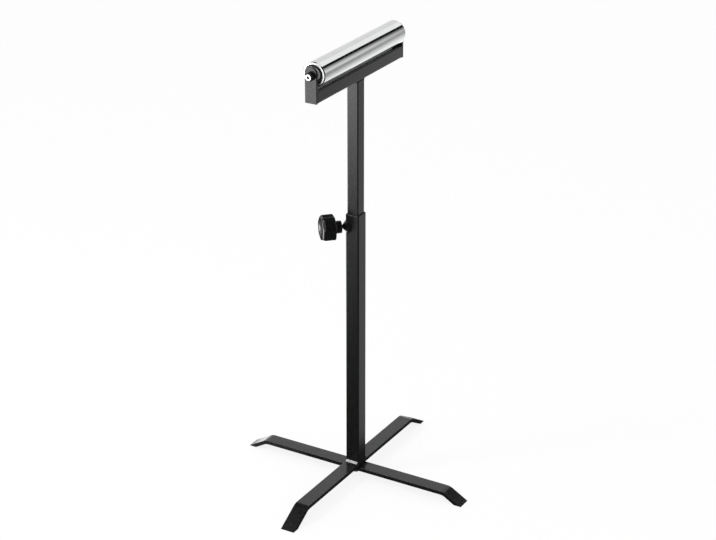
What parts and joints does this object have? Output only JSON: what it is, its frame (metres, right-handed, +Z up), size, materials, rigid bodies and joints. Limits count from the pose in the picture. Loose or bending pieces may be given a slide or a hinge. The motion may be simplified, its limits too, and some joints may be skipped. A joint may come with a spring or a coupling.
{
  "type": "roller stand",
  "caption": "Height-adjustable workshop roller stand with crossed flat-bar legs, a telescoping square column held by a corner clamp knob, and a free-running steel roller.",
  "frame": {"origin": "on the floor under the column's axis, midway between the feet", "axes": "+Z up along the column; the roller's axis and the upper leg bar lie along Y; the lower leg bar lies along X"},
  "size_m": [0.5046, 0.5334, 0.9303],
  "materials": {
    "black_paint": "semi-gloss black paint on steel",
    "bright_steel": "bright polished steel",
    "zinc": "bright zinc plate",
    "bearing_steel": "ground steel",
    "seal_rubber": "matt grey",
    "knob_plastic": "fine-grained black plastic",
    "cap_nylon": "moulded black nylon",
    "brass": "turned"
  },
  "bodies": {
    "base": {"lower_leg_bar": "black_paint", "upper_leg_bar": "black_paint", "cross_bolt": "zinc", "cross_washer": "zinc", "cross_nut": "zinc", "locating_pin": "zinc", "outer_tube": "black_paint", "foot_weld_near": "black_paint", "foot_weld_far": "black_paint", "clamp_boss": "black_paint"},
    "column": {"inner_tube": "black_paint", "head_weld_near": "black_paint", "head_weld_far": "black_paint", "head_beam": "black_paint", "near_lug": "black_paint", "far_lug": "black_paint", "axle": "zinc", "near_axle_collar": "black_paint", "far_axle_collar": "black_paint", "near_spacer": "zinc", "far_spacer": "zinc", "near_bearing_inner_ring": "bearing_steel", "far_bearing_inner_ring": "bearing_steel"},
    "roller": {"roller_tube": "bright_steel", "near_end_cap": "cap_nylon", "far_end_cap": "cap_nylon", "near_bearing_outer_ring": "bearing_steel", "far_bearing_outer_ring": "bearing_steel", "near_bearing_seal": "seal_rubber", "far_bearing_seal": "seal_rubber"},
    "near_cage": {"near_ball_cage": "bearing_steel"},
    "far_cage": {"far_ball_cage": "bearing_steel"},
    "pad": {"clamp_pad": "brass"},
    "knob": {"clamp_screw": "zinc", "clamp_knob": "knob_plastic"}
  },
  "joints": [
    {"name": "column_slide", "type": "slide", "parent": "base", "child": "column", "axis": [0, 0, 1], "range_m": [-0.26, 0.12]},
    {"name": "roller_spin", "type": "hinge", "parent": "column", "child": "roller", "pos_m": [0, 0, 0.9063], "axis": [0, 1, 0], "continuous": true},
    {"name": "near_cage_spin", "type": "hinge", "parent": "column", "child": "near_cage", "pos_m": [0, 0, 0.9063], "axis": [0, 1, 0], "continuous": true},
    {"name": "far_cage_spin", "type": "hinge", "parent": "column", "child": "far_cage", "pos_m": [0, 0, 0.9063], "axis": [0, 1, 0], "continuous": true},
    {"name": "pad_travel", "type": "slide", "parent": "base", "child": "pad", "axis": [-0.7071, -0.7071, 0], "range_m": [0, 0.0021]},
    {"name": "knob_turn", "type": "hinge", "parent": "pad", "child": "knob", "pos_m": [0, 0, 0.5537], "axis": [-0.7071, -0.7071, 0], "range_deg": [0, 720]}
  ],
  "couplings": [
    {"joint": "near_cage_spin", "follows": "roller_spin", "ratio": 0.63636},
    {"joint": "far_cage_spin", "follows": "roller_spin", "ratio": 0.63636},
    {"joint": "pad_travel", "follows": "knob_turn", "m_per_rad": 0.00015915}
  ]
}
